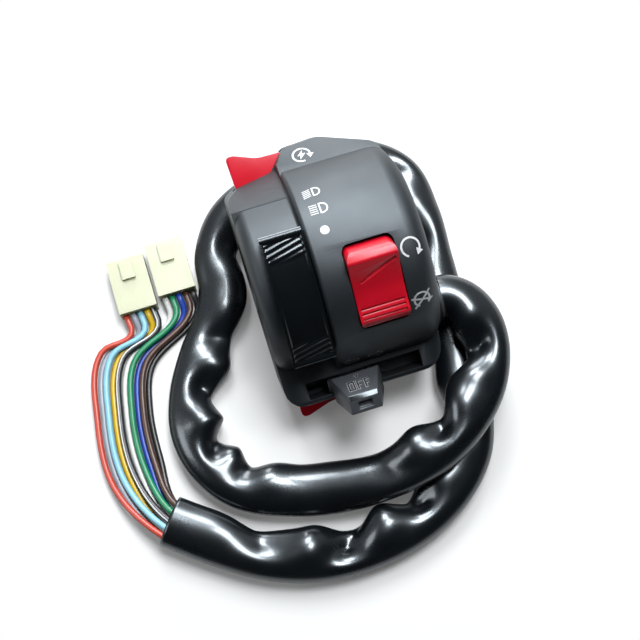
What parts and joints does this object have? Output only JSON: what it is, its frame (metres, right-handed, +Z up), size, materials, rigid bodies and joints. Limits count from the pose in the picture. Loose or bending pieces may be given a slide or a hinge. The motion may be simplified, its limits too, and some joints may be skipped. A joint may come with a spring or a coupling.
{
  "type": "handlebar switch cluster",
  "caption": "Two-piece moulded handlebar switch cluster with light slider, kill rocker, turn knob, starter and horn paddles, a limp cable sleeve and coloured wires to connectors.",
  "frame": {"origin": "on the axis of the bar bore, between the grip end and the cable end", "axes": "+X along the bar towards the cable end, +Z up from the bench that the cluster lies on, -Y towards its chin"},
  "size_m": [0.1239, 0.1285, 0.0547],
  "materials": {
    "shell_front": "fine matt moulded black plastic",
    "shell_rear": "fine matt moulded black plastic",
    "gloss_black": "polished black plastic",
    "red_gloss": "polished red plastic",
    "knob_grey": "satin dark grey plastic",
    "inner_plastic": "natural moulded plastic",
    "inner_black": "black moulded plastic",
    "copper": "rolled contact strip",
    "brass": "turned brass",
    "steel": "bright plated steel",
    "grommet_rubber": "black rubber",
    "sleeve_pvc": "glossy limp black sleeve",
    "connector_nylon": "natural translucent nylon",
    "wire_black": "satin insulation",
    "wire_brown": "satin insulation",
    "wire_royal_blue": "satin insulation",
    "wire_green": "satin insulation",
    "wire_white": "satin insulation",
    "wire_striped": "satin insulation with a pale stripe",
    "wire_yellow": "satin insulation",
    "wire_sky_blue": "satin insulation",
    "wire_grey": "satin insulation",
    "wire_red": "satin insulation"
  },
  "bodies": {
    "housing": {"front_shell": "shell_front", "rear_shell": "shell_rear", "shell_screws": "steel", "insert_nuts": "brass", "light_contact_plate": "brass", "kill_pin": "steel", "kill_base": "inner_plastic", "turn_guide_plate": "inner_black", "turn_contact_board": "copper", "starter_pin": "steel", "starter_spring": "steel", "starter_contact_leaf": "copper", "starter_contact_block": "inner_plastic", "horn_pin": "steel", "horn_spring": "steel", "horn_contact_leaf": "copper", "horn_contact_block": "inner_plastic", "cable_grommet": "grommet_rubber", "cable_sleeve": "sleeve_pvc", "connector_a": "connector_nylon", "connector_b": "connector_nylon", "terminals_a": "brass", "terminals_b": "brass", "wire_black": "wire_black", "wire_brown": "wire_brown", "wire_royal_blue": "wire_royal_blue", "wire_green": "wire_green", "wire_white": "wire_white", "wire_striped": "wire_striped", "wire_yellow": "wire_yellow", "wire_sky_blue": "wire_sky_blue", "wire_grey": "wire_grey", "wire_red": "wire_red"},
    "light_slider": {"light_slider": "gloss_black", "light_carrier": "inner_plastic", "light_detent_ball": "steel", "light_detent_spring": "steel"},
    "kill_rocker": {"kill_rocker": "red_gloss", "kill_bridge": "copper", "kill_plunger": "steel", "kill_spring": "steel"},
    "turn_carriage": {"turn_carriage": "inner_black", "turn_push_spring": "steel", "turn_detent_ball": "steel", "turn_detent_spring": "steel"},
    "turn_knob": {"turn_knob": "knob_grey"},
    "starter_paddle": {"starter_paddle": "red_gloss"},
    "horn_paddle": {"horn_paddle": "red_gloss"}
  },
  "joints": [
    {"name": "light_turn", "type": "hinge", "parent": "housing", "child": "light_slider", "pos_m": [-0.015, -0.00386, 0.00375], "axis": [-1, 0, 0], "range_deg": [0, 21]},
    {"name": "kill_rock", "type": "hinge", "parent": "housing", "child": "kill_rocker", "pos_m": [0.00725, -0.01759, 0.02465], "axis": [-1, 0, 0], "range_deg": [0, 16]},
    {"name": "turn_slide", "type": "slide", "parent": "housing", "child": "turn_carriage", "axis": [1, 0, 0], "range_m": [-0.0055, 0.0055]},
    {"name": "turn_push", "type": "slide", "parent": "turn_carriage", "child": "turn_knob", "axis": [0, 0.4067, -0.9135], "range_m": [0, 0.002], "stiffness_N_per_m": 200},
    {"name": "starter_press", "type": "hinge", "parent": "housing", "child": "starter_paddle", "pos_m": [-0.006, 0.02343, 0.00638], "axis": [0, -0.4067, 0.9135], "range_deg": [0, 7], "stiffness_Nm_per_rad": 0.1},
    {"name": "horn_press", "type": "hinge", "parent": "housing", "child": "horn_paddle", "pos_m": [-0.006, -0.03114, -0.01118], "axis": [0, 0.4067, -0.9135], "range_deg": [0, 7], "stiffness_Nm_per_rad": 0.1}
  ]
}
